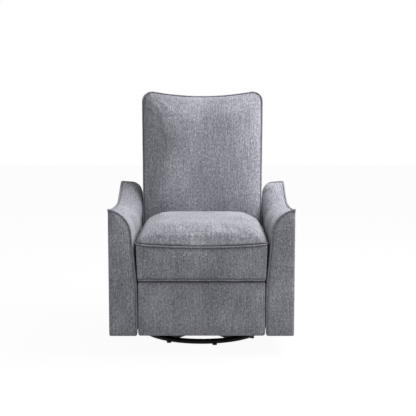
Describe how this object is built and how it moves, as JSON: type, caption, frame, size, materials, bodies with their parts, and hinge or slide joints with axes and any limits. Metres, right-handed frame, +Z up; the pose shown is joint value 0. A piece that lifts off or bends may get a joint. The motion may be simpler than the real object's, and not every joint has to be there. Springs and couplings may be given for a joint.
{
  "type": "swivel glider recliner chair",
  "caption": "Upholstered nursery glider armchair on a swivelling floor ring, with swooped flared arms, a folding footrest panel and a reclining back.",
  "frame": {"origin": "floor level under the swivel axis, at the middle of the chair's width and depth", "axes": "+Z up, the sitter faces -Y, +X is the sitter's left"},
  "size_m": [0.762, 0.884, 1.0719],
  "materials": {
    "upholstery": "heathered soft woven chenille, mid grey",
    "base_black": "satin black",
    "mechanism_black": "black lacquered steel",
    "bright_steel": "zinc plated",
    "timber": "raw softwood and plywood",
    "webbing": "black woven polypropylene",
    "glide_plastic": "moulded black"
  },
  "bodies": {
    "base": {"base_ring": "base_black", "base_glides": "glide_plastic", "base_spider": "base_black", "swivel_lower_plate": "mechanism_black", "swivel_kingpin": "bright_steel", "swivel_bearing": "glide_plastic"},
    "turntable": {"swivel_upper_plate": "mechanism_black", "glide_tie_bars": "mechanism_black", "glide_bracket_left": "mechanism_black", "glide_bracket_right": "mechanism_black"},
    "link_front_left": {"glide_link_front_left": "mechanism_black"},
    "link_front_right": {"glide_link_front_right": "mechanism_black"},
    "link_rear_left": {"glide_link_rear_left": "mechanism_black"},
    "link_rear_right": {"glide_link_rear_right": "mechanism_black"},
    "carriage": {"carriage_hanger_left": "mechanism_black", "carriage_hanger_right": "mechanism_black", "carriage_cross_ties": "mechanism_black", "mech_side_plate_left": "mechanism_black", "mech_side_plate_right": "mechanism_black", "side_plate_spacers": "timber", "seat_frame": "timber", "seat_webbing": "webbing", "seat_deck": "webbing", "seat_cushion": "upholstery", "seat_front_border": "upholstery", "arm_frame_left": "timber", "arm_frame_right": "timber", "arm_pad_left": "upholstery", "arm_pad_right": "upholstery", "arm_front_left": "upholstery", "arm_front_right": "upholstery", "arm_bolts": "bright_steel", "rear_panel": "upholstery"},
    "footrest_drive": {"footrest_torque_tube": "mechanism_black", "footrest_drive_link_left": "mechanism_black", "footrest_drive_link_right": "mechanism_black"},
    "footrest_rear": {"footrest_rear_link_left": "mechanism_black", "footrest_rear_link_right": "mechanism_black"},
    "footrest_mid": {"footrest_mid_link_left": "mechanism_black", "footrest_mid_link_right": "mechanism_black"},
    "footrest_front": {"footrest_front_link_left": "mechanism_black", "footrest_front_link_right": "mechanism_black"},
    "footrest_panel": {"footrest_bracket_left": "mechanism_black", "footrest_bracket_right": "mechanism_black", "footrest_board": "timber", "footrest_pad": "upholstery"},
    "backrest": {"back_frame": "timber", "back_bracket_left": "mechanism_black", "back_bracket_right": "mechanism_black", "back_webbing": "webbing", "back_cushion": "upholstery", "back_outer": "upholstery"}
  },
  "joints": [
    {"name": "swivel", "type": "hinge", "parent": "base", "child": "turntable", "pos_m": [0, 0, 0.04], "axis": [0, 0, 1], "continuous": true},
    {"name": "glide", "type": "hinge", "parent": "turntable", "child": "link_front_left", "pos_m": [0.1, -0.135, 0.212], "axis": [-1, 0, 0], "range_deg": [-22, 22]},
    {"name": "carriage_level", "type": "hinge", "parent": "link_front_left", "child": "carriage", "pos_m": [0.1, -0.135, 0.102], "axis": [-1, 0, 0], "range_deg": [-22, 22]},
    {"name": "glide_front_right", "type": "hinge", "parent": "turntable", "child": "link_front_right", "pos_m": [-0.1, -0.135, 0.212], "axis": [-1, 0, 0], "range_deg": [-22, 22]},
    {"name": "glide_rear_left", "type": "hinge", "parent": "turntable", "child": "link_rear_left", "pos_m": [0.1, 0.135, 0.212], "axis": [-1, 0, 0], "range_deg": [-22, 22]},
    {"name": "glide_rear_right", "type": "hinge", "parent": "turntable", "child": "link_rear_right", "pos_m": [-0.1, 0.135, 0.212], "axis": [-1, 0, 0], "range_deg": [-22, 22]},
    {"name": "footrest_extend", "type": "hinge", "parent": "carriage", "child": "footrest_drive", "pos_m": [0, -0.255, 0.302], "axis": [-1, 0, 0], "range_deg": [0, 95]},
    {"name": "footrest_rear_swing", "type": "hinge", "parent": "carriage", "child": "footrest_rear", "pos_m": [0, -0.17274, 0.24514], "axis": [-1, 0, 0], "range_deg": [0, 95]},
    {"name": "footrest_mid_level", "type": "hinge", "parent": "footrest_drive", "child": "footrest_mid", "pos_m": [0, -0.171, 0.152], "axis": [-1, 0, 0], "range_deg": [-95, 0]},
    {"name": "footrest_front_level", "type": "hinge", "parent": "footrest_drive", "child": "footrest_front", "pos_m": [0, -0.14364, 0.10314], "axis": [-1, 0, 0], "range_deg": [-95, 0]},
    {"name": "footrest_flip", "type": "hinge", "parent": "footrest_mid", "child": "footrest_panel", "pos_m": [0, -0.354, 0.2785], "axis": [-1, 0, 0], "range_deg": [0, 95]},
    {"name": "back_recline", "type": "hinge", "parent": "carriage", "child": "backrest", "pos_m": [0, 0.14, 0.345], "axis": [-1, 0, 0], "range_deg": [0, 38]}
  ],
  "couplings": [
    {"joint": "carriage_level", "follows": "glide", "ratio": -1},
    {"joint": "glide_front_right", "follows": "glide", "ratio": 1},
    {"joint": "glide_rear_left", "follows": "glide", "ratio": 1},
    {"joint": "glide_rear_right", "follows": "glide", "ratio": 1},
    {"joint": "footrest_rear_swing", "follows": "footrest_extend", "ratio": 1},
    {"joint": "footrest_mid_level", "follows": "footrest_extend", "ratio": -1},
    {"joint": "footrest_front_level", "follows": "footrest_extend", "ratio": -1},
    {"joint": "footrest_flip", "follows": "footrest_extend", "ratio": 1}
  ]
}
